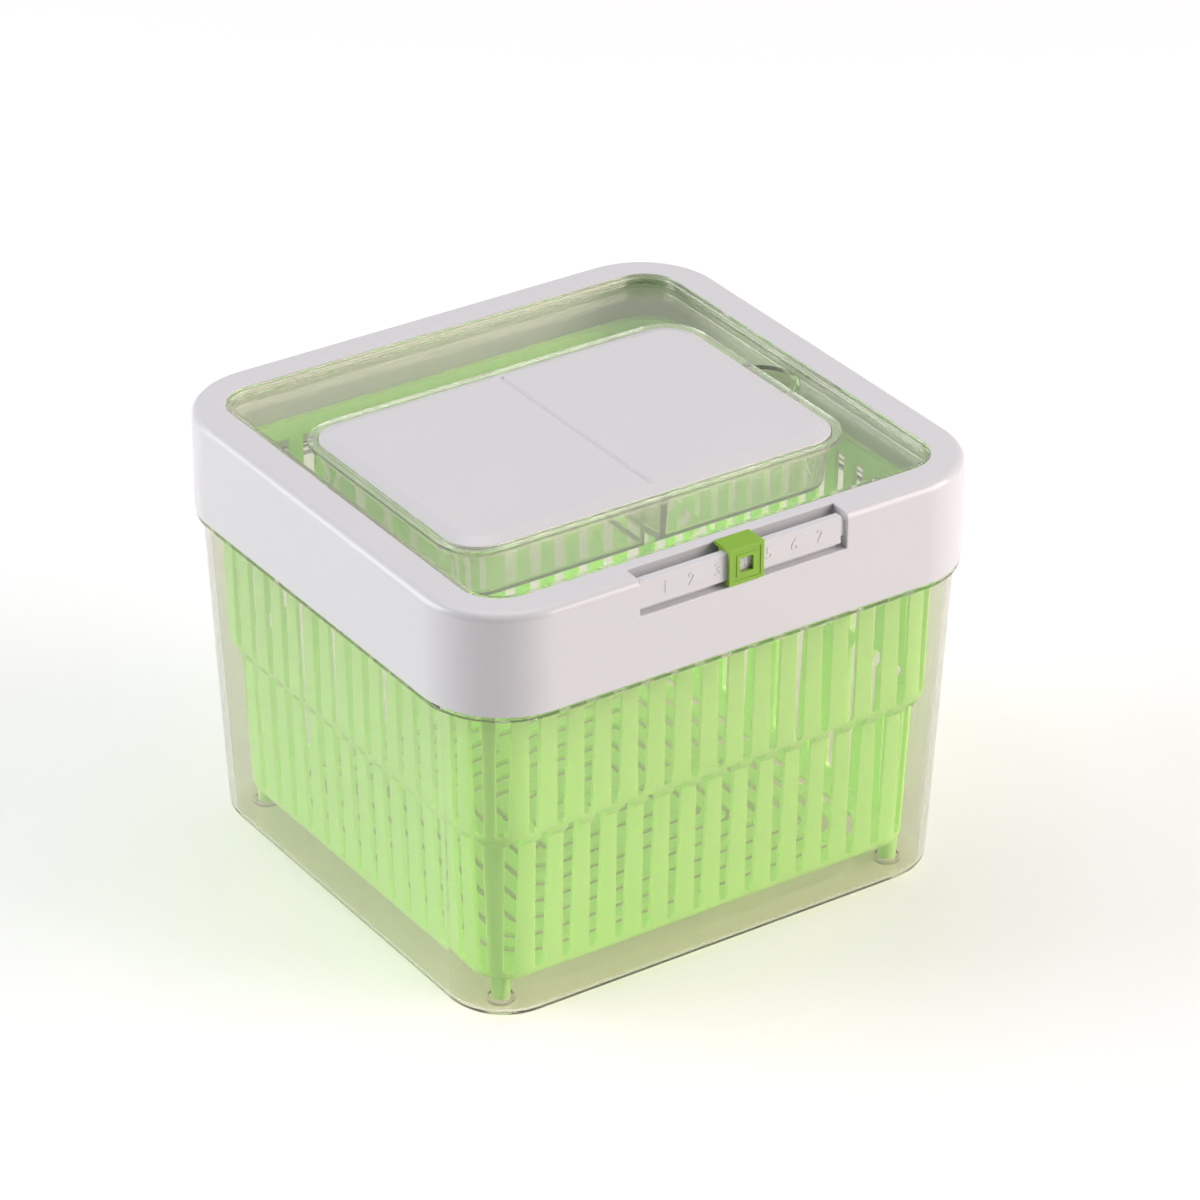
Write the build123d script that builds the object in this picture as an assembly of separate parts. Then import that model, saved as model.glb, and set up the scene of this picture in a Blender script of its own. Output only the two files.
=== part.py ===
from build123d import *
import math
import os

# Produce keeper: a clear outer bin, a slotted basket standing in it on four pegs, a lid
# with a clear window, a snack tray hung in that window and a day marker on the front.
# Millimetres. X runs along the front, the front faces -Y, Z is up, feet at Z = 0.

# Lid frame
lid_width = 250.0
lid_depth = 238.3
lid_corner = 36.7
lid_wall = 2.6
lid_height = 44.9
lid_edge_round = 4.0

# Window opening in the lid frame and the clear panel that fills it
frame_border_x = 15.5
frame_border_y = 15.5
opening_corner = 17.0
panel_fit = 0.1
panel_thick = 2.4
panel_drop = 5.4
panel_rim = 2.2
panel_rim_below = 0.4
panel_flange = 3.0
panel_flange_thick = 2.0

# Finger scoop beside the tray
scoop_radius = 14.5
scoop_depth = 10.0
scoop_wall = 1.8

# Outer bin
bin_height = 146.5
bin_foot_height = 1.2
bin_wall = 2.5
bin_floor = 2.5
bin_draft = 2.3
bin_inset = 4.6
bin_flange_thick = 2.3
bin_flange_inset = 0.6
bin_edge_round = 5.0
rim_height = 2.4
rim_wall = 2.5
rim_fit = 0.3
foot_radius = 5.7
foot_margin_x = 19.6
foot_margin_y = 18.75
dimple_radius = 4.9
dimple_depth = 1.3

# Basket
basket_wall = 1.8
basket_floor = 2.2
basket_height = 155.5
peg_height = 10.1
peg_radius = 4.4
peg_draft = 4.0
tier_height = 65.5
tier_gap = 8.5
tier_draft = 2.1
shoulder_height = 10.0
shoulder_step = 4.0
upper_draft = 0.95
basket_corner = 16.0
basket_lip = 1.2
basket_lip_height = 2.5
slot_pitch = 12.65
slot_top = 6.1
slot_low = 4.3
slot_dip = 2.0
slot_floor_gap = 6.0
slot_rim_gap = 8.0
ring_pitch = 10.0
ring_slot = 4.0
ring_margin = 14.0
ring_rib = 6.0
ring_corner = 20.0

# Snack tray and its cover
cover_width = 181.4
cover_depth = 120.8
cover_corner = 15.0
cover_fit = 0.3
cover_edge = 1.3
cover_rise = 1.8
cover_bevel = 5.5
cover_plate = 1.8
cover_rib = 1.8
cover_rib_depth = 1.6
groove_width = 2.4
groove_depth = 0.8
tray_depth = 26.2
tray_wall = 1.8
tray_floor = 2.0
tray_draft = 6.0
tray_fit = 0.8
tray_flange = 4.0
tray_flange_thick = 2.2
tray_rebate = 1.1
tray_ledge = 2.2
divider_width = 10.5
divider_wall = 1.6
divider_below = 0.5
tray_edge_round = 3.0

# Day rail in the front of the lid and the slider on it
day_count = 7
day_pitch = 12.15
recess_width = 97.8
recess_depth = 10.0
recess_height = 16.0
recess_wall = 2.2
rail_end_gap = 2.4
rail_setback = 1.0
rail_thick = 3.6
rail_height = 12.0
rail_below = 1.4
sill_thick = 0.85
tenon_height = 7.0
digit_height = 5.0
digit_width = 3.0
digit_stroke = 0.7
digit_relief = 0.25
slider_width = 16.4
slider_face = 1.75
slider_top = 1.75
slider_hook = 1.6
slider_fit = 0.3
slider_face_fit = 0.4
slider_leg_drop = 6.0
slider_lip = 2.4
slider_window = 6.4
slider_round = 1.0


def grown(angle, height):
    return height * math.tan(math.radians(angle))


def block(half_x, half_y, radius, low, high, draft=0.0):
    """Rounded block whose size is given at its low end and widens upward by the draft."""
    face = RectangleRounded(2 * half_x, 2 * half_y, radius)
    return Pos(0, 0, low) * extrude(face, amount=high - low, taper=-draft)


def box_between(x0, x1, y0, y1, z0, z1):
    middle = Pos((x0 + x1) / 2, (y0 + y1) / 2, (z0 + z1) / 2)
    return middle * Box(x1 - x0, y1 - y0, z1 - z0)


def edges_at(shape, height):
    return [e for e in shape.edges() if abs(e.center().Z - height) < 1e-3]


def save(shape, name):
    export_step(Pos(0, frame_shift, 0) * shape, "parts/" + name + ".step")


# Shared levels and half sizes
half_x = lid_width / 2
half_y = lid_depth / 2
lid_low = bin_height
lid_top = lid_low + lid_height
lid_ceiling = lid_top - lid_wall
front = -half_y
opening_x = half_x - frame_border_x
opening_y = half_y - frame_border_y
panel_top = lid_top - panel_drop
rail_front = front + rail_setback
slider_front = rail_front - slider_face_fit - slider_face
# The slider stands a little in front of the lid, so the whole is moved back by half of it
frame_shift = max(0.0, front - slider_front) / 2

# Lid frame with its front recess
frame = block(half_x, half_y, lid_corner, lid_low, lid_top)
frame = fillet(edges_at(frame, lid_top), lid_edge_round)
inner_corner = lid_corner - lid_wall
frame -= block(half_x - lid_wall, half_y - lid_wall, inner_corner, lid_low - 1, lid_ceiling)
recess_low = lid_top - recess_height
recess_back = front + recess_depth
recess_half = recess_width / 2
housing = box_between(
    -recess_half - recess_wall, recess_half + recess_wall,
    front + lid_wall / 2, recess_back + recess_wall,
    recess_low - recess_wall, lid_ceiling + lid_wall / 2,
)
frame += housing
frame -= box_between(
    -recess_half, recess_half, front - 1, recess_back, recess_low, lid_top + 1,
)
frame -= block(opening_x, opening_y, opening_corner, lid_ceiling - 1, lid_top + 1)

# Snack tray: two wells with a hollow divider, hung by its flange on the clear panel
cover_x = cover_width / 2
cover_y = cover_depth / 2
tray_top = panel_top + tray_flange_thick
tray_low = tray_top - tray_depth
ledge_top = tray_top - tray_rebate
wall_inner_x = cover_x + cover_fit - tray_ledge
wall_inner_y = cover_y + cover_fit - tray_ledge
wall_corner = cover_corner + cover_fit - tray_ledge + tray_wall
tray_x = wall_inner_x + tray_wall
tray_y = wall_inner_y + tray_wall
flange_x = cover_x + cover_fit + tray_flange
flange_y = cover_y + cover_fit + tray_flange
drawn_in = grown(tray_draft, tray_depth)
tray = block(
    tray_x - drawn_in, tray_y - drawn_in, wall_corner - drawn_in,
    tray_low, tray_top, tray_draft,
)
tray = fillet(edges_at(tray, tray_low), tray_edge_round)
tray += block(flange_x, flange_y, cover_corner + cover_fit + tray_flange, panel_top, tray_top)
tray -= block(
    cover_x + cover_fit, cover_y + cover_fit, cover_corner + cover_fit, ledge_top, tray_top + 1,
)
floor_in = drawn_in - grown(tray_draft, tray_floor)
wells = block(
    wall_inner_x - floor_in, wall_inner_y - floor_in, wall_corner - tray_wall - floor_in,
    tray_low + tray_floor, tray_top, tray_draft,
)
divider_top = ledge_top - cover_rib_depth - divider_below
wells -= box_between(
    -divider_width / 2, divider_width / 2, -half_y, half_y, tray_low, divider_top,
)
tray -= wells
channel = divider_width / 2 - divider_wall
channel_end = tray_y - drawn_in - divider_wall - tray_edge_round
tray -= box_between(
    -channel, channel, -channel_end, channel_end, tray_low - 1, divider_top - divider_wall,
)

# Cover plate with a sloped border, a groove over the divider and a rib into the tray
cover_low = ledge_top
cover_top = cover_low + cover_edge + cover_rise
cover = block(cover_x, cover_y, cover_corner, cover_low, cover_top)
top_edges = edges_at(cover, cover_top)
top_face = cover.faces().sort_by(Axis.Z)[-1]
cover = chamfer(top_edges, cover_bevel, cover_rise, reference=top_face)
rib_inset = cover_fit + grown(tray_draft, tray_rebate + cover_rib_depth)
rib_x = wall_inner_x - rib_inset
rib_y = wall_inner_y - rib_inset
rib_corner = wall_corner - tray_wall - rib_inset
rib = block(rib_x, rib_y, rib_corner, cover_low - cover_rib_depth, cover_low + 0.5)
hollow = (rib_x - cover_rib, rib_y - cover_rib, rib_corner - cover_rib)
rib -= block(*hollow, cover_low - cover_rib_depth - 1, cover_low + 1)
cover += rib
hollow_low = cover_low - 1
cover -= block(
    rib_x - cover_bevel, rib_y - cover_bevel, rib_corner - cover_rib,
    hollow_low, cover_top - cover_plate,
)
groove = Plane.XZ * Polygon(
    (-groove_width / 2, cover_top + 0.01),
    (0, cover_top - groove_depth),
    (groove_width / 2, cover_top + 0.01),
    align=None,
)
groove_half = cover_y - cover_bevel
cover -= Pos(0, groove_half, 0) * extrude(groove, amount=2 * groove_half)

# Clear panel: a plate below the frame's top with a rim up into the opening
hole_x = tray_x + tray_fit
hole_y = tray_y + tray_fit
hole_corner = wall_corner + tray_fit
panel_x = opening_x - panel_fit
panel_y = opening_y - panel_fit
panel_corner = opening_corner - panel_fit
panel_low = panel_top - panel_thick
panel = block(panel_x, panel_y, panel_corner, panel_low, lid_top - panel_rim_below)
panel += block(
    panel_x + panel_flange, panel_y + panel_flange, panel_corner + panel_flange,
    lid_ceiling - panel_flange_thick, lid_ceiling,
)
panel -= block(
    panel_x - panel_rim, panel_y - panel_rim, panel_corner - panel_rim, panel_top, lid_top,
)
scoop_low = panel_top - scoop_depth
cup = Pos(hole_x, 0, scoop_low - scoop_wall) * Cylinder(
    scoop_radius + scoop_wall, panel_top - scoop_low + scoop_wall,
    align=(Align.CENTER, Align.CENTER, Align.MIN),
)
cup &= box_between(hole_x, half_x, -half_y, half_y, 0, lid_top)
panel += cup
panel -= Pos(hole_x, 0, scoop_low) * Cylinder(
    scoop_radius, lid_top, align=(Align.CENTER, Align.CENTER, Align.MIN),
)
panel -= block(hole_x, hole_y, hole_corner, panel_low - 20, lid_top)

# Outer bin with flange, locating rim, feet and a dimple over each foot
top_inset = bin_inset
low_inset = top_inset + grown(bin_draft, bin_height - bin_foot_height)
bin_low = bin_foot_height
outer = block(
    half_x - low_inset, half_y - low_inset, lid_corner - low_inset,
    bin_low, bin_height, bin_draft,
)
outer = fillet(edges_at(outer, bin_low), bin_edge_round)
outer += block(
    half_x - bin_flange_inset, half_y - bin_flange_inset, lid_corner - bin_flange_inset,
    bin_height - bin_flange_thick, bin_height,
)
rim_inset = lid_wall + rim_fit
outer += block(
    half_x - rim_inset, half_y - rim_inset, lid_corner - rim_inset,
    bin_height, bin_height + rim_height,
)
rim_hollow = rim_inset + rim_wall
outer -= block(
    half_x - rim_hollow, half_y - rim_hollow, lid_corner - rim_hollow,
    bin_height, bin_height + rim_height + 1,
)
floor_top = bin_low + bin_floor
cavity_inset = low_inset + bin_wall - grown(bin_draft, bin_floor)
cavity = block(
    half_x - cavity_inset, half_y - cavity_inset, lid_corner - cavity_inset,
    floor_top, bin_height + 0.01, bin_draft,
)
cavity = fillet(edges_at(cavity, floor_top), bin_edge_round - bin_wall)
outer -= cavity
foot_x = half_x - low_inset - foot_margin_x
foot_y = half_y - low_inset - foot_margin_y
corners = [(sx * foot_x, sy * foot_y) for sx in (-1, 1) for sy in (-1, 1)]
dimple_floor = floor_top - dimple_depth
for x, y in corners:
    outer += Pos(x, y, 0) * Cylinder(
        foot_radius, floor_top, align=(Align.CENTER, Align.CENTER, Align.MIN),
    )
    outer -= Pos(x, y, dimple_floor) * Cylinder(
        dimple_radius, floor_top, align=(Align.CENTER, Align.CENTER, Align.MIN),
    )

# Basket: a lower tier, a sloped shoulder and a wider upper tier
basket_low = dimple_floor + peg_height
lower_x = half_x - cavity_inset - tier_gap
lower_y = half_y - cavity_inset - tier_gap
tier_top = basket_low + tier_height
tier_grow = grown(tier_draft, tier_height)
shoulder_top = tier_top + shoulder_height
shoulder_angle = math.degrees(math.atan(shoulder_step / shoulder_height))
basket_top = basket_low + basket_height
upper_grow = grown(upper_draft, basket_top - shoulder_top)


def basket_form(inward, low, high):
    """The basket's outer form, drawn in by a wall where it is its hollow."""
    sunk = grown(tier_draft, low - basket_low)
    size = [lower_x - inward + sunk, lower_y - inward + sunk, basket_corner - inward + sunk]
    form = block(*size, low, tier_top, tier_draft)
    size = [lower_x - inward, lower_y - inward, basket_corner - inward]
    size = [s + tier_grow for s in size]
    form += block(*size, tier_top, shoulder_top, shoulder_angle)
    size = [s + shoulder_step for s in size]
    form += block(*size, shoulder_top, high, upper_draft)
    return form


basket = basket_form(0.0, basket_low, basket_top)
upper_out = tier_grow + shoulder_step + upper_grow
lip = upper_out + basket_lip
basket += block(
    lower_x + lip, lower_y + lip, basket_corner + lip,
    basket_top - basket_lip_height, basket_top,
)
basket -= basket_form(basket_wall, basket_low + basket_floor, basket_top + 1)


def slot_face(low, high):
    return Polygon(
        (-slot_low / 2, low), (slot_low / 2, low), (slot_top / 2, high), (-slot_top / 2, high),
        align=None,
    ) + Pos(0, low) * Circle(slot_low / 2)


lower_slot = (basket_low + slot_floor_gap, tier_top + shoulder_height / 2)
upper_slot = (shoulder_top - slot_dip, basket_top - slot_rim_gap)


def slot_places(reach, offset):
    """Places along a wall, on the pitch or half a pitch aside, clear of the corner slats."""
    count = int((reach - slot_pitch * 0.6) / slot_pitch)
    places = [k * slot_pitch + offset for k in range(-count - 1, count + 2)]
    return [p for p in places if abs(p) < reach - slot_pitch * 0.6]


long = lid_width
cutters = []
for ends, reach_x, reach_y, aside in (
    (lower_slot, lower_x, lower_y, slot_pitch / 2),
    (upper_slot, lower_x + upper_out, lower_y + upper_out, 0.0),
):
    across = extrude(Plane.XZ * slot_face(*ends), amount=long, both=True)
    along = extrude(Plane.YZ * slot_face(*ends), amount=long, both=True)
    for x in slot_places(reach_x, aside):
        cutters.append(Pos(x, 0, 0) * across)
    for y in slot_places(reach_y, slot_pitch / 2 - aside):
        cutters.append(Pos(0, y, 0) * along)
basket -= cutters

# Ring slots in the basket floor, held together by two ribs
ring_x = lower_x - ring_margin
ring_y = lower_y - ring_margin
cross = box_between(-ring_rib / 2, ring_rib / 2, -half_y, half_y, 0, lid_top)
cross += box_between(-half_x, half_x, -ring_rib / 2, ring_rib / 2, 0, lid_top)
rings = int((ring_y - ring_slot) / ring_pitch) + 1
ring_cuts = []
for k in range(rings):
    inward = k * ring_pitch
    radius = max(ring_slot, ring_corner - inward) + ring_slot / 2
    big_x = ring_x - inward + ring_slot / 2
    big_y = ring_y - inward + ring_slot / 2
    radius = min(radius, big_y - 0.1)
    ring = block(big_x, big_y, radius, basket_low - 1, basket_low + basket_floor + 1)
    if big_y > ring_slot + 1:
        ring -= block(
            big_x - ring_slot, big_y - ring_slot, max(0.5, radius - ring_slot),
            basket_low - 2, basket_low + basket_floor + 2,
        )
    ring -= cross
    ring_cuts.append(ring)
basket -= ring_cuts
for x, y in corners:
    peg = extrude(
        Circle(peg_radius - grown(peg_draft, peg_height)), amount=peg_height, taper=-peg_draft,
    )
    basket += Pos(x, y, dimple_floor) * peg

# Day rail: a bar along the recess on a thin sill, with raised day numbers
rail_low = recess_low + rail_below + slider_hook - slider_fit
rail_top = rail_low + rail_height
rail_right = recess_half - rail_end_gap
rail_back = rail_front + rail_thick
rail = box_between(-recess_half, rail_right, rail_front, rail_back, rail_low, rail_top)
rail_middle = (rail_low + rail_top) / 2
rail += box_between(
    rail_right, recess_half, rail_front + rail_thick / 4, rail_back - rail_thick / 4,
    rail_middle - tenon_height / 2, rail_middle + tenon_height / 2,
)
rail += box_between(
    -recess_half, rail_right, rail_back - sill_thick, rail_back, recess_low, rail_low + 0.5,
)
strokes = {
    "top": (0, 1, 1, 1), "middle": (0, 0, 1, 0), "bottom": (0, -1, 1, -1),
    "upper_left": (0, 0, 0, 1), "upper_right": (1, 0, 1, 1),
    "lower_left": (0, -1, 0, 0), "lower_right": (1, -1, 1, 0),
}
digits = {
    1: ["upper_right", "lower_right"],
    2: ["top", "upper_right", "middle", "lower_left", "bottom"],
    3: ["top", "upper_right", "middle", "lower_right", "bottom"],
    4: ["upper_left", "upper_right", "middle", "lower_right"],
    5: ["top", "upper_left", "middle", "lower_right", "bottom"],
    6: ["top", "upper_left", "middle", "lower_left", "lower_right", "bottom"],
    7: ["top", "upper_right", "lower_right"],
}
day_places = [(k - (day_count - 1) / 2) * day_pitch for k in range(day_count)]
for place, day in zip(day_places, range(1, day_count + 1)):
    for name in digits[day]:
        x0, z0, x1, z1 = strokes[name]
        left = place - digit_width / 2 + x0 * digit_width
        right = place - digit_width / 2 + x1 * digit_width
        low = rail_middle + z0 * digit_height / 2
        high = rail_middle + z1 * digit_height / 2
        rail += box_between(
            left - digit_stroke / 2, right + digit_stroke / 2,
            rail_front - digit_relief, rail_front + 0.5,
            low - digit_stroke / 2, high + digit_stroke / 2,
        )

# Slider: a square frame over the rail's face, a top over the bar, a leg behind it and a
# lip under it
slide_half = slider_width / 2
inside_front = rail_front - slider_face_fit
inside_top = rail_top + slider_fit
inside_back = rail_back + slider_fit
inside_low = rail_low - slider_fit
slider_high = inside_top + slider_top
slider_low = inside_low - slider_hook
slider = box_between(
    -slide_half, slide_half, slider_front, inside_front, slider_low, slider_high,
)
slider += box_between(
    -slide_half, slide_half, inside_front - 0.5, recess_back - slider_fit, inside_top, slider_high,
)
slider += box_between(
    -slide_half, slide_half, inside_back, inside_back + slider_hook,
    inside_top - slider_leg_drop, slider_high - 0.2,
)
slider += box_between(
    -slide_half, slide_half, inside_front - 0.5, rail_front + slider_lip, slider_low, inside_low,
)
front_edges = [
    e for e in slider.edges() if abs(e.center().Y - slider_front) < 1e-3
]
slider = fillet(front_edges, slider_round)
slider -= box_between(
    -slider_window / 2, slider_window / 2, slider_front - 1, inside_front + 0.5,
    rail_middle - slider_window / 2, rail_middle + slider_window / 2,
)

os.makedirs("parts", exist_ok=True)
for shape, name in (
    (outer, "outer_bin"),
    (basket, "crisper_basket"),
    (frame, "lid_frame"),
    (panel, "lid_window"),
    (rail, "day_rail"),
    (slider, "day_slider"),
    (tray, "snack_tray"),
    (cover, "tray_cover"),
):
    save(shape, name)
    low_corner = shape.bounding_box().min
    high_corner = shape.bounding_box().max
    print(name, "from", low_corner, "to", high_corner)
print("moved back by", round(frame_shift, 3))
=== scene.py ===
import bpy
import math
from contextlib import contextmanager
from mathutils import Matrix, Vector


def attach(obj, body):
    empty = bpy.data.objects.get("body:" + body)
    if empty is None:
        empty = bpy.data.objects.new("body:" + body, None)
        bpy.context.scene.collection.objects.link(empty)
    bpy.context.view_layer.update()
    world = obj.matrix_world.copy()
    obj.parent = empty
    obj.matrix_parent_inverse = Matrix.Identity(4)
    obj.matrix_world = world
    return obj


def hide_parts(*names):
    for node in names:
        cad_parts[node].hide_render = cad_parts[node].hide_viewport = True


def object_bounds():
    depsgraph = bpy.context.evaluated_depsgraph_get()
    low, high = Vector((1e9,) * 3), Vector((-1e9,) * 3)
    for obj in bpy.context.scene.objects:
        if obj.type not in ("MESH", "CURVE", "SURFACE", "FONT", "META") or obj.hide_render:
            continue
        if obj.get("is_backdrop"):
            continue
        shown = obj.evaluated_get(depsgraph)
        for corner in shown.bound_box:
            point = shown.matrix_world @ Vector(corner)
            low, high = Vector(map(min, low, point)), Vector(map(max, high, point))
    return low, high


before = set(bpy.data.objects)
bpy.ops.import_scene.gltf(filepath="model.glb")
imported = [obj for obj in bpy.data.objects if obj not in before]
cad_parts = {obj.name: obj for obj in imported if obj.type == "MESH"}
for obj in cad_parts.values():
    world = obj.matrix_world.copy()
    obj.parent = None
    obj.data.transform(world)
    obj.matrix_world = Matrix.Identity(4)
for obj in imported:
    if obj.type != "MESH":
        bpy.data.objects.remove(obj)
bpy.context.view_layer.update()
scene = bpy.context.scene
mm = 0.001
shiftY = 0.575  # the lid's middle lies this far behind the whole box's middle, because of the slider
layAlongX = (0, math.radians(90), 0)
layAlongY = (math.radians(90), 0, 0)
print("frame loaded:", ", ".join(sorted(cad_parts)))


# modelling helpers

def activate(piece):
    bpy.ops.object.select_all(action="DESELECT")
    piece.select_set(True)
    bpy.context.view_layer.objects.active = piece


def settle(piece):
    activate(piece)
    bpy.ops.object.transform_apply(location=True, rotation=True, scale=True)


def pick(piece, kind, test):
    # selects faces or edges by their place in millimetres, ready for edit mode
    scene.tool_settings.mesh_select_mode = (False, kind == "EDGE", kind == "FACE")
    data = piece.data
    for group in (data.vertices, data.edges, data.polygons):
        group.foreach_set("select", [False] * len(group))
    if kind == "FACE":
        for face in data.polygons:
            face.select = bool(test(face.center / mm, face.normal))
    else:
        for edge in data.edges:
            a, b = (data.vertices[i].co / mm for i in edge.vertices)
            edge.select = bool(test(a, b))


@contextmanager
def editing(piece):
    activate(piece)
    bpy.ops.object.mode_set(mode="EDIT")
    yield
    bpy.ops.object.mode_set(mode="OBJECT")


def addBox(name, low, high):
    # low and high corners in millimetres, before the shift along Y
    middle = [(a + b) / 2 for a, b in zip(low, high)]
    place = (middle[0] * mm, (middle[1] + shiftY) * mm, middle[2] * mm)
    bpy.ops.mesh.primitive_cube_add(size=1, location=place)
    piece = bpy.context.object
    piece.name = name
    piece.scale = [(b - a) * mm for a, b in zip(low, high)]
    settle(piece)
    return piece


def addRound(radius, length, place, steps, turn=(0, 0, 0)):
    # a cylinder about its middle in millimetres, before the shift along Y
    x, y, z = place
    bpy.ops.mesh.primitive_cylinder_add(
        vertices=steps, radius=radius * mm, depth=length * mm,
        location=(x * mm, (y + shiftY) * mm, z * mm), rotation=turn,
    )
    piece = bpy.context.object
    settle(piece)
    return piece


def fourCorners(halfX, halfY):
    return [(sideX * halfX, sideY * halfY) for sideX in (-1, 1) for sideY in (-1, 1)]


def growLoop(halfX, halfY, grow):
    # widens the selected loop by the same amount on each side
    bpy.ops.transform.resize(
        value=((halfX + grow) / halfX, (halfY + grow) / halfY, 1),
        center_override=(0, shiftY * mm, 0),
    )


def roundedBlock(name, halfX, halfY, low, high, corner, grow=0, roundLow=0, roundHigh=0, steps=12):
    piece = addBox(name, (-halfX, -halfY, low), (halfX, halfY, high))
    pick(piece, "EDGE", lambda a, b: abs(a.z - b.z) > (high - low) / 2)
    with editing(piece):
        bpy.ops.mesh.bevel(offset=corner * mm, segments=steps, affect="EDGES")
    if grow:
        pick(piece, "FACE", lambda c, n: n.z > 0.9 and c.z > high - 0.01)
        with editing(piece):
            growLoop(halfX, halfY, grow)
    for size, level in ((roundLow, low), (roundHigh, high)):
        if size:
            pick(piece, "EDGE", lambda a, b: abs(a.z - level) < 0.01 and abs(b.z - level) < 0.01)
            with editing(piece):
                bpy.ops.mesh.bevel(offset=size * mm, segments=5, affect="EDGES")
    return piece


def applyLast(piece):
    activate(piece)
    bpy.ops.object.modifier_apply(modifier=piece.modifiers[-1].name)


def thicken(piece, wall):
    # gives a sheet its wall on the inner side, so the outer faces stay where they are
    step = piece.modifiers.new("wall", "SOLIDIFY")
    step.thickness = wall * mm
    step.offset = -1
    step.use_even_offset = True
    applyLast(piece)


def combine(piece, tool, operation="DIFFERENCE"):
    step = piece.modifiers.new("combine", "BOOLEAN")
    step.operation = operation
    step.solver = "EXACT"
    step.object = tool
    applyLast(piece)
    bpy.data.objects.remove(tool, do_unlink=True)


def joinAll(parts):
    bpy.ops.object.select_all(action="DESELECT")
    for part in parts:
        part.select_set(True)
    bpy.context.view_layer.objects.active = parts[0]
    bpy.ops.object.join()
    return parts[0]


def softenEdges(piece, width, segments=2, angle=35):
    step = piece.modifiers.new("soften", "BEVEL")
    step.width = width * mm
    step.segments = segments
    step.limit_method = "ANGLE"
    step.angle_limit = math.radians(angle)
    step.use_clamp_overlap = True
    applyLast(piece)


def tidyNormals(piece, angle=32):
    activate(piece)
    bpy.ops.object.shade_smooth_by_angle(angle=math.radians(angle))
    step = piece.modifiers.new("weighted", "WEIGHTED_NORMAL")
    step.keep_sharp = True
    step.weight = 100
    applyLast(piece)


def dress(piece, material, body, node):
    piece.data.materials.clear()
    piece.data.materials.append(material)
    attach(piece, body)
    if node:
        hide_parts(node)
    print("piece", piece.name, "faces", len(piece.data.polygons))


# materials

def hexColour(code):
    # a colour written as on a screen, turned into the linear values that the nodes take
    values = [int(code[i:i + 2], 16) / 255 for i in (1, 3, 5)]
    linear = [v / 12.92 if v <= 0.04045 else ((v + 0.055) / 1.055) ** 2.4 for v in values]
    return (*linear, 1.0)


def addNode(tree, kind, settings=None, links=None):
    node = tree.nodes.new(kind)
    for key, value in (settings or {}).items():
        if key in node.inputs:
            node.inputs[key].default_value = value
        else:
            setattr(node, key, value)
    for key, source in (links or {}).items():
        tree.links.new(source, node.inputs[key])
    return node


def newMaterial(name):
    material = bpy.data.materials.new(name)
    material.use_nodes = True
    material.node_tree.nodes.clear()
    return material, material.node_tree


def mouldedBump(tree, cell, depth, strength):
    # the slow waviness of a moulded wall: cell and depth in millimetres
    place = addNode(tree, "ShaderNodeTexCoord")
    noise = addNode(
        tree, "ShaderNodeTexNoise",
        {"Scale": 1 / (cell * mm), "Detail": 2.0, "Roughness": 0.5},
        {"Vector": place.outputs["Object"]},
    )
    return addNode(
        tree, "ShaderNodeBump",
        {"Strength": strength, "Distance": depth * mm},
        {"Height": noise.outputs["Fac"]},
    )


def letLampsThrough(tree, body, tint):
    # lamp light passes the wall and takes a little of its colour, as it does in a see-through plastic
    passing = addNode(tree, "ShaderNodeBsdfTransparent", {"Color": hexColour(tint)})
    light = addNode(tree, "ShaderNodeLightPath")
    mixed = addNode(tree, "ShaderNodeMixShader")
    tree.links.new(light.outputs["Is Shadow Ray"], mixed.inputs[0])
    tree.links.new(body.outputs[0], mixed.inputs[1])
    tree.links.new(passing.outputs[0], mixed.inputs[2])
    return mixed


def clearPlastic(name, look):
    # Moulded SAN: clear and hard with a high gloss; light passes it nearly freely, so its
    # shadow is only a faint tint
    material, tree = newMaterial(name)
    bump = mouldedBump(tree, look["waveCell"], look["waveDepth"], 0.4)
    body = addNode(
        tree, "ShaderNodeBsdfPrincipled",
        {
            "Base Color": hexColour(look["tint"]), "Roughness": look["roughness"],
            "IOR": look["ior"], "Transmission Weight": look["clear"],
        },
        {"Normal": bump.outputs["Normal"]},
    )
    mixed = letLampsThrough(tree, body, look["shadow"])
    addNode(tree, "ShaderNodeOutputMaterial", links={"Surface": mixed.outputs[0]})
    return material


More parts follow.
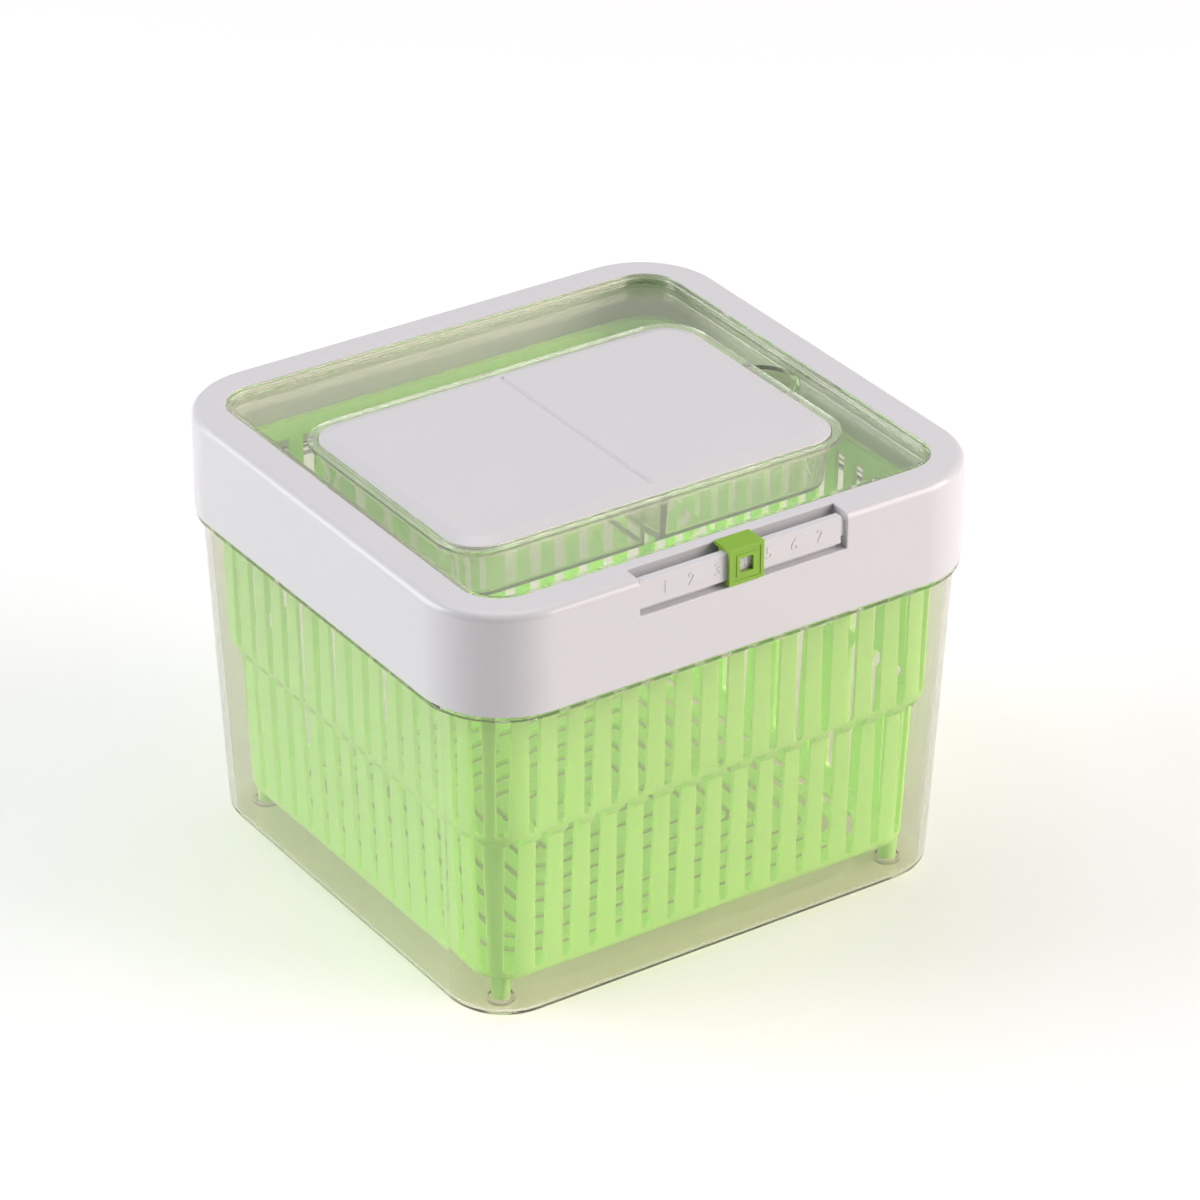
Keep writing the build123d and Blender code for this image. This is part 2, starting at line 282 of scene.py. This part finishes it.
def solidPlastic(name, look):
    # Moulded ABS or polypropylene: an even colour with a slightly uneven gloss
    material, tree = newMaterial(name)
    bump = mouldedBump(tree, look["waveCell"], look["waveDepth"], 0.35)
    place = addNode(tree, "ShaderNodeTexCoord")
    flow = addNode(
        tree, "ShaderNodeTexNoise",
        {"Scale": 1 / (look["flowCell"] * mm), "Detail": 3.0},
        {"Vector": place.outputs["Object"]},
    )
    tone = addNode(
        tree, "ShaderNodeMix", {"data_type": "RGBA"}, {0: flow.outputs["Fac"]},
    )
    # a colour mix keeps its A and B sockets at places 6 and 7, and its result at place 2
    tone.inputs[6].default_value = hexColour(look["colour"])
    tone.inputs[7].default_value = hexColour(look["colourB"])
    gloss = addNode(
        tree, "ShaderNodeMapRange",
        {"To Min": look["roughness"] - 0.03, "To Max": look["roughness"] + 0.04},
        {"Value": flow.outputs["Fac"]},
    )
    settings = {
        "IOR": look["ior"], "Subsurface Weight": look.get("subsurface", 0.0),
        "Subsurface Scale": look.get("depth", 1.0) * mm,
        "Transmission Weight": look.get("transmission", 0.0),
    }
    body = addNode(
        tree, "ShaderNodeBsdfPrincipled", settings,
        {
            "Base Color": tone.outputs[2], "Roughness": gloss.outputs[0],
            "Normal": bump.outputs["Normal"],
        },
    )
    body.inputs["Subsurface Radius"].default_value = look.get("radius", (1.0, 1.0, 1.0))
    surface = letLampsThrough(tree, body, look["shadow"]) if "shadow" in look else body
    addNode(tree, "ShaderNodeOutputMaterial", links={"Surface": surface.outputs[0]})
    return material


binLook = {
    "tint": "#E4E4D7", "shadow": "#FBFAF7", "roughness": 0.02, "ior": 1.5, "clear": 0.97,
    "waveCell": 70, "waveDepth": 0.02,
}
lidClearLook = {
    "tint": "#F2F4EA", "shadow": "#FBFBF7", "roughness": 0.02, "ior": 1.5, "clear": 0.94,
    "waveCell": 60, "waveDepth": 0.015,
}
trayLook = {
    "tint": "#F2F5EE", "shadow": "#FBFBF7", "roughness": 0.02, "ior": 1.45, "clear": 0.88,
    "waveCell": 30, "waveDepth": 0.03,
}
basketLook = {
    "colour": "#C3F09C", "colourB": "#CAF3A4", "shadow": "#DDEAD2", "roughness": 0.38, "ior": 1.49,
    "subsurface": 0.8, "depth": 6.0, "radius": (0.7, 1.0, 0.35), "transmission": 0.25,
    "waveCell": 18, "waveDepth": 0.04, "flowCell": 40,
}
frameLook = {
    "colour": "#CFCED1", "colourB": "#D2D1D3", "roughness": 0.24, "ior": 1.52,
    "waveCell": 70, "waveDepth": 0.05, "flowCell": 60,
}
sliderLook = {
    "colour": "#80AA2C", "colourB": "#88B435", "roughness": 0.25, "ior": 1.52,
    "subsurface": 0.15, "depth": 1.5, "radius": (0.6, 1.0, 0.2),
    "waveCell": 8, "waveDepth": 0.02, "flowCell": 10,
}
clearBinSan = clearPlastic("clear_san_bin", binLook)
clearLidSan = clearPlastic("clear_san_lid", lidClearLook)
clearTraySan = clearPlastic("clear_san_tray", trayLook)
greenPolypropylene = solidPlastic("green_translucent_polypropylene", basketLook)
whiteAbs = solidPlastic("white_gloss_abs", frameLook)
greenAbs = solidPlastic("green_gloss_abs", sliderLook)
print("materials made")

# camera, as fitted to the photograph
camSet = {
    "place": (-1055.66, -1593.29, 1193.99),
    "right": (0.831557, -0.555432, 0.002847),
    "up": (0.271723, 0.411266, 0.870073),
    "lens": 160.87,
}
camData = bpy.data.cameras.new("photoCamera")
camData.lens = camSet["lens"]
camData.sensor_width = 36
camera = bpy.data.objects.new("photoCamera", camData)
scene.collection.objects.link(camera)
rightAxis = Vector(camSet["right"]).normalized()
upAxis = Vector(camSet["up"]).normalized()
backAxis = rightAxis.cross(upAxis)
turn = Matrix((rightAxis, upAxis, backAxis)).transposed().to_4x4()
x, y, z = camSet["place"]
camera.matrix_world = Matrix.Translation((x * mm, (y + shiftY) * mm, z * mm)) @ turn
camData.clip_start, camData.clip_end = 0.05, 50
scene.camera = camera

# sizes that several pieces share, in millimetres
lid = {
    "halfX": 125.0, "halfY": 119.15, "corner": 36.7, "wall": 2.6, "low": 146.5, "top": 191.4,
    "edgeRound": 4.0, "border": 15.5, "openCorner": 17.0,
}
openX = lid["halfX"] - lid["border"]
openY = lid["halfY"] - lid["border"]
recess = {"halfX": 48.9, "depth": 10.0, "low": 175.4}
overlap = 0.5  # how far one part of a piece runs into the next before the two are united
past = 5  # how far a cutting tool runs past the face that it cuts

# outer bin: a tapered box with a flange and a low rim, and a foot and a dimple in each corner
binSet = {
    "halfX": 114.56, "halfY": 108.71, "corner": 26.3, "grow": 5.84, "low": 1.2, "top": 146.5,
    "edgeRound": 5.0, "wall": 2.4, "floor": 2.5, "innerRound": 2.5, "innerGrow": 5.74, "openTop": 0.02,
    "flangeThick": 2.3, "flangeInset": 0.6, "rimHeight": 2.4, "rimInset": 2.9, "rimWall": 2.5,
    "rimCut": 3,
    "footX": 94.96, "footY": 89.96, "footR": 5.7, "footLength": 3.0,
    "dimpleR": 4.9, "dimpleFloor": 2.4, "dimpleLength": 4.0,
}
binTop = binSet["top"]
outerBin = roundedBlock(
    "outerBin", binSet["halfX"], binSet["halfY"], binSet["low"], binTop, binSet["corner"],
    binSet["grow"], binSet["edgeRound"], steps=16,
)
inset = binSet["flangeInset"]
combine(outerBin, roundedBlock(
    "flange", lid["halfX"] - inset, lid["halfY"] - inset, binTop - binSet["flangeThick"], binTop,
    lid["corner"] - inset, steps=16,
), "UNION")
inset = binSet["rimInset"]
combine(outerBin, roundedBlock(
    "rim", lid["halfX"] - inset, lid["halfY"] - inset, binTop - overlap, binTop + binSet["rimHeight"],
    lid["corner"] - inset, steps=16,
), "UNION")
inset = binSet["rimInset"] + binSet["rimWall"]
combine(outerBin, roundedBlock(
    "rimHollow", lid["halfX"] - inset, lid["halfY"] - inset, binTop,
    binTop + binSet["rimHeight"] + binSet["rimCut"], lid["corner"] - inset, steps=16,
))
for x, y in fourCorners(binSet["footX"], binSet["footY"]):
    combine(outerBin, addRound(
        binSet["footR"], binSet["footLength"], (x, y, binSet["footLength"] / 2), 40,
    ), "UNION")
inset = binSet["wall"]
combine(outerBin, roundedBlock(
    "cavity", binSet["halfX"] - inset, binSet["halfY"] - inset, binSet["low"] + binSet["floor"],
    binTop + binSet["openTop"], binSet["corner"] - inset, binSet["innerGrow"],
    binSet["innerRound"], steps=16,
))
for x, y in fourCorners(binSet["footX"], binSet["footY"]):
    level = binSet["dimpleFloor"] + binSet["dimpleLength"] / 2
    combine(outerBin, addRound(binSet["dimpleR"], binSet["dimpleLength"], (x, y, level), 40))
softenEdges(outerBin, 0.35)
tidyNormals(outerBin)
dress(outerBin, clearBinSan, "bin", "outer_bin")

# basket: two tiers with a curved shoulder between them, drawn as a sheet, slotted, then thickened
basketSet = {
    "halfX": 103.66, "halfY": 97.81, "corner": 16.0, "low": 12.5, "lowRound": 3.0, "tierTop": 78.0,
    "shoulderTop": 88.0, "top": 168.0, "wall": 1.8, "lip": 1.2, "lipHeight": 2.5,
    "tierGrow": 2.4, "shoulderStep": 4.0, "shoulderSteps": 4, "upperGrow": 1.33, "upperReach": 7.7,
    "pitch": 12.65, "slotLow": 4.3, "slotTop": 6.1, "lowerSlot": (18.5, 83.0),
    "upperSlot": (86.0, 160.0), "slotCount": 10, "slotMargin": 0.6, "cutMargin": 6, "wallBand": 12,
    "slotCut": 250, "rings": 9, "ringHalfX": 89.66, "ringHalfY": 83.81, "ringCorner": 20.0,
    "ringPitch": 10.0, "ringSlot": 4.0, "ringRib": 3.0, "ringReach": 4,
    "pegLow": 3.7, "pegHigh": 4.4, "pegHeight": 10.9,
}
floorLow, shoulderLow = basketSet["low"], basketSet["tierTop"]
basket = roundedBlock(
    "crisperBasket", basketSet["halfX"], basketSet["halfY"], floorLow, shoulderLow,
    basketSet["corner"], basketSet["tierGrow"], steps=8,
)


def raiseTop(piece, level, fromGrow, toGrow):
    # extrudes the top face to a new level and widens it
    tops = max(v.co.z for v in piece.data.vertices) / mm
    pick(piece, "FACE", lambda c, n: n.z > 0.9 and c.z > tops - 0.01)
    with editing(piece):
        bpy.ops.mesh.extrude_region_move(
            TRANSFORM_OT_translate={"value": (0, 0, (level - tops) * mm)})
        growLoop(basketSet["halfX"] + fromGrow, basketSet["halfY"] + fromGrow, toGrow - fromGrow)


wide = basketSet["tierGrow"]
shoulder = basketSet["shoulderTop"] - shoulderLow
for step in range(basketSet["shoulderSteps"]):
    angle = (step + 1) / basketSet["shoulderSteps"] * math.pi / 2
    wider = basketSet["tierGrow"] + basketSet["shoulderStep"] * math.sin(angle)
    raiseTop(basket, shoulderLow + shoulder * (1 - math.cos(angle)), wide, wider)
    wide = wider
upperWide = wide + basketSet["upperGrow"]
lipWide = upperWide + basketSet["lip"]
lipLow = basketSet["top"] - basketSet["lipHeight"]
raiseTop(basket, lipLow, wide, upperWide)
raiseTop(basket, lipLow, upperWide, lipWide)
raiseTop(basket, basketSet["top"], lipWide, lipWide)
pick(basket, "EDGE", lambda a, b: a.z < floorLow + 0.01 and b.z < floorLow + 0.01)
with editing(basket):
    bpy.ops.mesh.bevel(offset=basketSet["lowRound"] * mm, segments=4, affect="EDGES")
pick(basket, "FACE", lambda c, n: n.z > 0.9 and c.z > basketSet["top"] - 0.01)
with editing(basket):
    bpy.ops.mesh.delete(type="FACE")


def slotPlaces(reach, aside):
    count = basketSet["slotCount"]
    places = [i * basketSet["pitch"] + aside for i in range(-count, count + 1)]
    return [p for p in places if abs(p) < reach - basketSet["pitch"] * basketSet["slotMargin"]]


def slotHalf(level, ends):
    share = (level - ends[0]) / (ends[1] - ends[0])
    return (basketSet["slotLow"] + (basketSet["slotTop"] - basketSet["slotLow"]) * share) / 2


def sliceSides(places, level, lean, cut):
    # two leaning cuts for the sides of each slot; cut gives a plane's point and its normal
    for place in places:
        for side in (-1, 1):
            point, normal = cut(place + side * basketSet["slotLow"] / 2, side)
            bpy.ops.mesh.select_all(action="SELECT")
            bpy.ops.mesh.bisect(plane_co=(*point, level * mm), plane_no=(*normal, -lean))


upper = basketSet["upperReach"]
tiers = (
    (basketSet["lowerSlot"], basketSet["halfX"], basketSet["halfY"], basketSet["pitch"] / 2),
    (basketSet["upperSlot"], basketSet["halfX"] + upper, basketSet["halfY"] + upper, 0.0),
)
for ends, reachX, reachY, aside in tiers:
    low, high = ends
    margin = basketSet["cutMargin"]
    pick(basket, "FACE", lambda c, n: low - margin < c.z < high + margin and abs(n.z) < 0.9)
    with editing(basket):
        bpy.ops.mesh.hide(unselected=True)
        for level in (low, high):
            bpy.ops.mesh.select_all(action="SELECT")
            bpy.ops.mesh.bisect(plane_co=(0, 0, level * mm), plane_no=(0, 0, 1))
        bpy.ops.mesh.reveal()
    pick(basket, "FACE", lambda c, n: low < c.z < high and abs(n.z) < 0.95)
    lean = (basketSet["slotTop"] - basketSet["slotLow"]) / 2 / (high - low)
    alongX = slotPlaces(reachX, aside)
    alongY = slotPlaces(reachY, basketSet["pitch"] / 2 - aside)
    with editing(basket):
        bpy.ops.mesh.hide(unselected=True)
        sliceSides(alongX, low, lean, lambda place, side: ((place * mm, 0), (side, 0)))
        sliceSides(alongY, low, lean, lambda place, side: ((0, (place + shiftY) * mm), (0, side)))
        bpy.ops.mesh.reveal()

    def inSlot(c, n):
        if not low < c.z < high or abs(n.z) > 0.95:
            return False
        half = slotHalf(c.z, ends)
        band = basketSet["wallBand"]
        if abs(c.y - shiftY) > reachY - band and any(abs(c.x - p) < half for p in alongX):
            return True
        return abs(c.x) > reachX - band and any(abs(c.y - shiftY - p) < half for p in alongY)

    pick(basket, "FACE", inSlot)
    with editing(basket):
        bpy.ops.mesh.delete(type="FACE")
print("basket walls slotted")
thicken(basket, basketSet["wall"])

# each slot has a round lower end, cut through both opposite walls at once
endRadius = basketSet["slotLow"] / 2
for ends, reachX, reachY, aside in tiers:
    combine(basket, joinAll([
        addRound(endRadius, basketSet["slotCut"], (place, 0, ends[0]), 14, layAlongY)
        for place in slotPlaces(reachX, aside)
    ]))
    combine(basket, joinAll([
        addRound(endRadius, basketSet["slotCut"], (0, place, ends[0]), 14, layAlongX)
        for place in slotPlaces(reachY, basketSet["pitch"] / 2 - aside)
    ]))
print("slot ends rounded")

# ring slots in the floor, one inside the other, bridged by two ribs
rings = []
slot, reach = basketSet["ringSlot"] / 2, basketSet["ringReach"]
for i in range(basketSet["rings"]):
    inward = i * basketSet["ringPitch"]
    halfX = basketSet["ringHalfX"] - inward
    halfY = basketSet["ringHalfY"] - inward
    corner = max(4.0, basketSet["ringCorner"] - inward)
    ring = roundedBlock(
        "ring", halfX + slot, halfY + slot, floorLow - 1, floorLow + reach,
        min(corner + slot, halfY + slot - 0.1), steps=5,
    )
    combine(ring, roundedBlock(
        "ringCore", halfX - slot, halfY - slot, floorLow - 2, floorLow + reach + 1,
        min(max(0.5, corner - slot), halfY - slot - 0.1), steps=5,
    ))
    rings.append(ring)
ringTool = joinAll(rings)
rib = basketSet["ringRib"]
combine(ringTool, addBox("ribX", (-rib, -120, 0), (rib, 120, 40)))
combine(ringTool, addBox("ribY", (-120, -rib, 0), (120, rib, 40)))
combine(basket, ringTool)
for x, y in fourCorners(binSet["footX"], binSet["footY"]):
    bpy.ops.mesh.primitive_cone_add(
        vertices=24, radius1=basketSet["pegLow"] * mm, radius2=basketSet["pegHigh"] * mm,
        depth=basketSet["pegHeight"] * mm,
        location=(
            x * mm, (y + shiftY) * mm,
            (binSet["dimpleFloor"] + basketSet["pegHeight"] / 2) * mm,
        ),
    )
    peg = bpy.context.object
    settle(peg)
    combine(basket, peg, "UNION")
softenEdges(basket, 0.3, 2, 40)
tidyNormals(basket, 40)
dress(basket, greenPolypropylene, "basket", "crisper_basket")

# lid frame: a shell open below and at the window, with the day marker's recess in front
shellTop = lid["top"] - 3
lidFrame = roundedBlock(
    "lidFrame", lid["halfX"], lid["halfY"], lid["low"], lid["top"], lid["corner"],
    roundHigh=lid["edgeRound"], steps=18,
)
combine(lidFrame, addBox(
    "recessTool", (-recess["halfX"], -lid["halfY"] - past, recess["low"]),
    (recess["halfX"], -lid["halfY"] + recess["depth"], lid["top"] + past),
))
combine(lidFrame, roundedBlock(
    "openingTool", openX, openY, shellTop, lid["top"] + 3, lid["openCorner"], steps=14,
))
pick(lidFrame, "FACE", lambda c, n: (
    c.z < lid["low"] + 0.01 or abs(c.z - shellTop) < 0.01
    or (shellTop - 0.1 < c.z < lid["top"] - 0.2 and abs(c.x) < openX + 0.05
        and abs(c.y - shiftY) < openY + 0.05 and abs(n.z) < 0.5)
))
with editing(lidFrame):
    bpy.ops.mesh.delete(type="FACE")
thicken(lidFrame, lid["wall"])
softenEdges(lidFrame, 0.5, 3, 40)
tidyNormals(lidFrame, 40)
dress(lidFrame, whiteAbs, "lid", "lid_frame")

# clear window with its raised rim, the tray's hole and the finger scoop
windowSet = {
    "fit": 0.1, "corner": 16.9, "top": 186.0, "thick": 2.4, "rimTop": 191.0, "rim": 2.2,
    "flange": 3.0, "flangeLow": 186.8, "flangeTop": 188.8,
    "holeX": 91.4, "holeY": 61.1, "holeCorner": 15.7, "holeLow": 150, "holeTop": 195,
    "scoopR": 14.5, "scoopLow": 176.0, "scoopWall": 1.8, "scoopCut": 40,
}
panelX, panelY = openX - windowSet["fit"], openY - windowSet["fit"]
lidWindow = roundedBlock(
    "lidWindow", panelX, panelY, windowSet["top"] - windowSet["thick"], windowSet["rimTop"],
    windowSet["corner"], steps=14,
)
combine(lidWindow, roundedBlock(
    "windowFlange", panelX + windowSet["flange"], panelY + windowSet["flange"],
    windowSet["flangeLow"], windowSet["flangeTop"], windowSet["corner"] + windowSet["flange"],
    steps=14,
), "UNION")
combine(lidWindow, roundedBlock(
    "windowWell", panelX - windowSet["rim"], panelY - windowSet["rim"], windowSet["top"],
    lid["top"] + past, windowSet["corner"] - windowSet["rim"], steps=14,
))
scoopTop = windowSet["top"] - overlap
scoopUnder = windowSet["scoopLow"] - windowSet["scoopWall"]
combine(lidWindow, addRound(
    windowSet["scoopR"] + windowSet["scoopWall"], scoopTop - scoopUnder,
    (windowSet["holeX"], 0, (scoopTop + scoopUnder) / 2), 64,
), "UNION")
combine(lidWindow, addRound(
    windowSet["scoopR"], windowSet["scoopCut"],
    (windowSet["holeX"], 0, windowSet["scoopLow"] + windowSet["scoopCut"] / 2), 64,
))
combine(lidWindow, roundedBlock(
    "trayHole", windowSet["holeX"], windowSet["holeY"], windowSet["holeLow"],
    windowSet["holeTop"], windowSet["holeCorner"], steps=12,
))
softenEdges(lidWindow, 0.4)
tidyNormals(lidWindow)
dress(lidWindow, clearLidSan, "lid", "lid_window")

# snack tray: an outer form, a flange with a ledge for the cover, and two wells
traySet = {
    "outX": 87.85, "outY": 57.55, "corner": 12.15, "grow": 2.75, "lowRound": 3.0,
    "low": 162.0, "top": 188.2, "flangeX": 95.0, "flangeY": 64.7, "flangeCorner": 19.3,
    "flangeLow": 186.0, "ledge": 187.1, "ledgeX": 91.0, "ledgeY": 60.7, "ledgeCorner": 15.3,
    "wellX": 86.26, "wellY": 55.96, "wellCorner": 10.55, "wellGrow": 2.54, "wellRound": 2.0,
    "floor": 164.0, "divider": 5.25, "dividerY": 90, "dividerTop": 185.0, "dividerWall": 1.6,
    "channel": 3.65, "channelY": 52.95,
}
snackTray = roundedBlock(
    "snackTray", traySet["outX"], traySet["outY"], traySet["low"], traySet["top"],
    traySet["corner"], traySet["grow"], traySet["lowRound"], steps=10,
)
combine(snackTray, roundedBlock(
    "trayFlange", traySet["flangeX"], traySet["flangeY"], traySet["flangeLow"], traySet["top"],
    traySet["flangeCorner"], steps=12,
), "UNION")
combine(snackTray, roundedBlock(
    "trayLedge", traySet["ledgeX"], traySet["ledgeY"], traySet["ledge"], traySet["top"] + past,
    traySet["ledgeCorner"], steps=12,
))
wells = roundedBlock(
    "trayWells", traySet["wellX"], traySet["wellY"], traySet["floor"], traySet["top"],
    traySet["wellCorner"], traySet["wellGrow"], steps=10,
)
combine(wells, addBox(
    "dividerTool", (-traySet["divider"], -traySet["dividerY"], traySet["floor"] - past),
    (traySet["divider"], traySet["dividerY"], traySet["dividerTop"]),
))
wellFloor = traySet["floor"] + 0.01
pick(wells, "EDGE", lambda a, b: a.z < wellFloor and b.z < wellFloor)
with editing(wells):
    bpy.ops.mesh.bevel(offset=traySet["wellRound"] * mm, segments=4, affect="EDGES")
combine(snackTray, wells)
combine(snackTray, addBox(
    "channelTool", (-traySet["channel"], -traySet["channelY"], traySet["low"] - past),
    (traySet["channel"], traySet["channelY"], traySet["dividerTop"] - traySet["dividerWall"]),
))
softenEdges(snackTray, 0.4)
tidyNormals(snackTray)
dress(snackTray, clearTraySan, "tray", "snack_tray")

# tray cover: a plate with a sloped border and a groove over the divider
coverSet = {
    "halfX": 90.7, "halfY": 60.4, "corner": 15.0, "low": 187.1, "edge": 1.3, "rise": 1.8,
    "bevel": 5.5, "plate": 1.8, "grooveR": 2.1, "grooveUp": 1.25,
    "ribX": 88.16, "ribY": 57.86, "ribCorner": 12.5, "ribLow": 185.5, "ribWall": 1.8,
    "hollowCorner": 10.7, "hollowTopCorner": 8.0,
}
coverLow, ribLow = coverSet["low"], coverSet["ribLow"]
coverRim = coverLow + coverSet["edge"]
coverTop = coverRim + coverSet["rise"]
trayCover = roundedBlock(
    "trayCover", coverSet["halfX"], coverSet["halfY"], coverLow, coverRim, coverSet["corner"],
    steps=12,
)
pick(trayCover, "FACE", lambda c, n: n.z > 0.9)
with editing(trayCover):
    bpy.ops.mesh.inset(thickness=coverSet["bevel"] * mm)
    bpy.ops.transform.translate(value=(0, 0, coverSet["rise"] * mm))
combine(trayCover, roundedBlock(
    "coverRib", coverSet["ribX"], coverSet["ribY"], ribLow, coverLow + overlap,
    coverSet["ribCorner"], steps=10,
), "UNION")
inset = coverSet["ribWall"]
combine(trayCover, roundedBlock(
    "coverHollow", coverSet["ribX"] - inset, coverSet["ribY"] - inset, ribLow - past, coverLow,
    coverSet["hollowCorner"], steps=10,
))
inset = coverSet["bevel"]
combine(trayCover, roundedBlock(
    "coverHollowTop", coverSet["ribX"] - inset, coverSet["ribY"] - inset, coverLow - 1,
    coverTop - coverSet["plate"], coverSet["hollowTopCorner"], steps=8,
))
combine(trayCover, addRound(
    coverSet["grooveR"], 2 * (coverSet["halfY"] - coverSet["bevel"]),
    (0, 0, coverTop + coverSet["grooveUp"]), 20, layAlongY,
))
softenEdges(trayCover, 0.6, 3, 12)
tidyNormals(trayCover, 40)
dress(trayCover, whiteAbs, "cover", "tray_cover")

# day rail: a bar on a thin sill, a tenon at its right-hand end, and raised numbers
railSet = {
    "left": -48.9, "right": 46.5, "front": -118.15, "back": -114.55, "low": 178.1, "top": 190.1,
    "sillFront": -115.4, "tenonInset": 0.9, "tenonLow": 180.6, "tenonTop": 187.6, "tenonRoot": 1,
    "pitch": 12.15, "count": 7, "digit": 5.2, "capShare": 0.7, "relief": 0.22, "digitRound": 0.05,
}
railLeft, railRight = railSet["left"], railSet["right"]
railFront, railBack = railSet["front"], railSet["back"]
dayRail = addBox(
    "dayRail", (railLeft, railFront, railSet["low"]), (railRight, railBack, railSet["top"]))
inset = railSet["tenonInset"]
combine(dayRail, addBox(
    "tenon", (railRight - railSet["tenonRoot"], railFront + inset, railSet["tenonLow"]),
    (recess["halfX"], railBack - inset, railSet["tenonTop"]),
), "UNION")
combine(dayRail, addBox(
    "sill", (railLeft, railSet["sillFront"], recess["low"]),
    (railRight, railBack, railSet["low"] + overlap),
), "UNION")
softenEdges(dayRail, 0.45, 3)
tidyNormals(dayRail, 40)
middle = (railSet["low"] + railSet["top"]) / 2
marks = []
for i in range(railSet["count"]):
    place = (i - (railSet["count"] - 1) / 2) * railSet["pitch"]
    bpy.ops.object.text_add(rotation=layAlongY)
    mark = bpy.context.object
    mark.data.body = str(i + 1)
    mark.data.size = railSet["digit"] / railSet["capShare"] * mm
    mark.data.align_x = "CENTER"
    mark.data.align_y = "CENTER"
    mark.data.extrude = railSet["relief"] * mm
    mark.data.bevel_depth = railSet["digitRound"] * mm
    depth = railFront + shiftY + railSet["digitRound"]
    mark.location = (place * mm, depth * mm, middle * mm)
    activate(mark)
    bpy.ops.object.convert(target="MESH")
    settle(bpy.context.object)
    marks.append(bpy.context.object)
dayMarks = joinAll(marks)
dayMarks.name = "dayMarks"
dress(dayRail, whiteAbs, "lid", "day_rail")
dress(dayMarks, whiteAbs, "lid", None)

# day slider: a face with a window, an arm over the rail, a leg behind it and a lip below
sliderSet = {
    "half": 8.2, "front": -120.3, "faceBack": -118.55, "low": 176.2, "high": 192.15,
    "underTop": 190.4, "legFront": -114.25, "legBack": -112.65, "legLow": 184.4, "back": -109.45,
    "lipTop": 177.8, "lipBack": -115.75, "window": 3.2, "border": 1.5, "sunk": 0.35, "ring": 1.5,
}
half, hole, border = sliderSet["half"], sliderSet["window"], sliderSet["border"]
faceFront, faceBack = sliderSet["front"], sliderSet["faceBack"]
low, high = sliderSet["low"], sliderSet["high"]
daySlider = addBox("daySlider", (-half, faceFront, low), (half, faceBack, high))
combine(daySlider, addBox(
    "sliderArm", (-half, faceBack - overlap, sliderSet["underTop"]), (half, sliderSet["back"], high),
), "UNION")
combine(daySlider, addBox(
    "sliderLeg", (-half, sliderSet["legFront"], sliderSet["legLow"]),
    (half, sliderSet["legBack"], high - overlap),
), "UNION")
combine(daySlider, addBox(
    "sliderLip", (-half, faceBack - overlap, low), (half, sliderSet["lipBack"], sliderSet["lipTop"]),
), "UNION")
field = addBox(
    "sliderField", (-half + border, faceFront - 1, low + border),
    (half - border, faceFront + sliderSet["sunk"], high - border),
)
ring = hole + sliderSet["ring"]
combine(field, addBox(
    "sliderRing", (-ring, faceFront - 2, middle - ring), (ring, faceFront + 2, middle + ring),
))
combine(daySlider, field)
combine(daySlider, addBox(
    "sliderHole", (-hole, faceFront - 2, middle - hole), (hole, faceBack + 1, middle + hole),
))
softenEdges(daySlider, 0.6, 4, 40)
tidyNormals(daySlider, 40)
dress(daySlider, greenAbs, "slider", "day_slider")
print("all pieces made")

# floor, world and lights
stageSet = {
    "floor": "#FAFAFA", "world": 0.42, "dim": 0.02, "darkSide": (-0.6, -0.79, 0.1), "sky": "#FBFBFF",
    "lights": (
        ("topLight", (0.0, 0.5, 3.1), 2.8, 36.0, "#FBFBFF"),
        ("leftLight", (-2.75, 1.9, 1.44), 2.4, 88.0, "#FFFFFF"),
        ("rightLight", (2.45, -2.25, 1.44), 2.4, 118.0, "#FFF3EC"),
    ),
}
bpy.ops.mesh.primitive_plane_add(size=12, location=(0, 0, 0))
floor = bpy.context.object
floor.name = "floor"
floorMaterial, tree = newMaterial("pale_matt_paper")
paper = addNode(
    tree, "ShaderNodeBsdfPrincipled",
    {"Base Color": hexColour(stageSet["floor"]), "Roughness": 0.8},
)
addNode(tree, "ShaderNodeOutputMaterial", links={"Surface": paper.outputs[0]})
floor.data.materials.append(floorMaterial)
floor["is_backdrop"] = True
world = bpy.data.worlds.new("studio")
scene.world = world
world.use_nodes = True
# the room is dim on one side, so the lid's near corner falls off as it does in the photograph
sky = world.node_tree
background = sky.nodes["Background"]
background.inputs["Color"].default_value = hexColour(stageSet["sky"])
direction = addNode(sky, "ShaderNodeTexCoord")
toDark = addNode(
    sky, "ShaderNodeVectorMath", {"operation": "DOT_PRODUCT"},
    {0: direction.outputs["Generated"]},
)
toDark.inputs[1].default_value = stageSet["darkSide"]
strength = addNode(
    sky, "ShaderNodeMapRange",
    {
        "interpolation_type": "SMOOTHSTEP", "From Min": 0.1, "From Max": 0.95,
        "To Min": stageSet["world"], "To Max": stageSet["dim"],
    },
    {"Value": toDark.outputs["Value"]},
)
sky.links.new(strength.outputs[0], background.inputs["Strength"])
for name, place, size, power, colour in stageSet["lights"]:
    lamp = bpy.data.lights.new(name, "AREA")
    lamp.energy = power
    lamp.size = size
    lamp.color = hexColour(colour)[:3]
    holder = bpy.data.objects.new(name, lamp)
    scene.collection.objects.link(holder)
    aim = Vector((0, 0, 0.1)) - Vector(place)
    holder.matrix_world = Matrix.Translation(place) @ aim.to_track_quat("-Z", "Y").to_matrix().to_4x4()
scene.view_settings.view_transform = "Standard"
scene.view_settings.look = "None"

low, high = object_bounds()
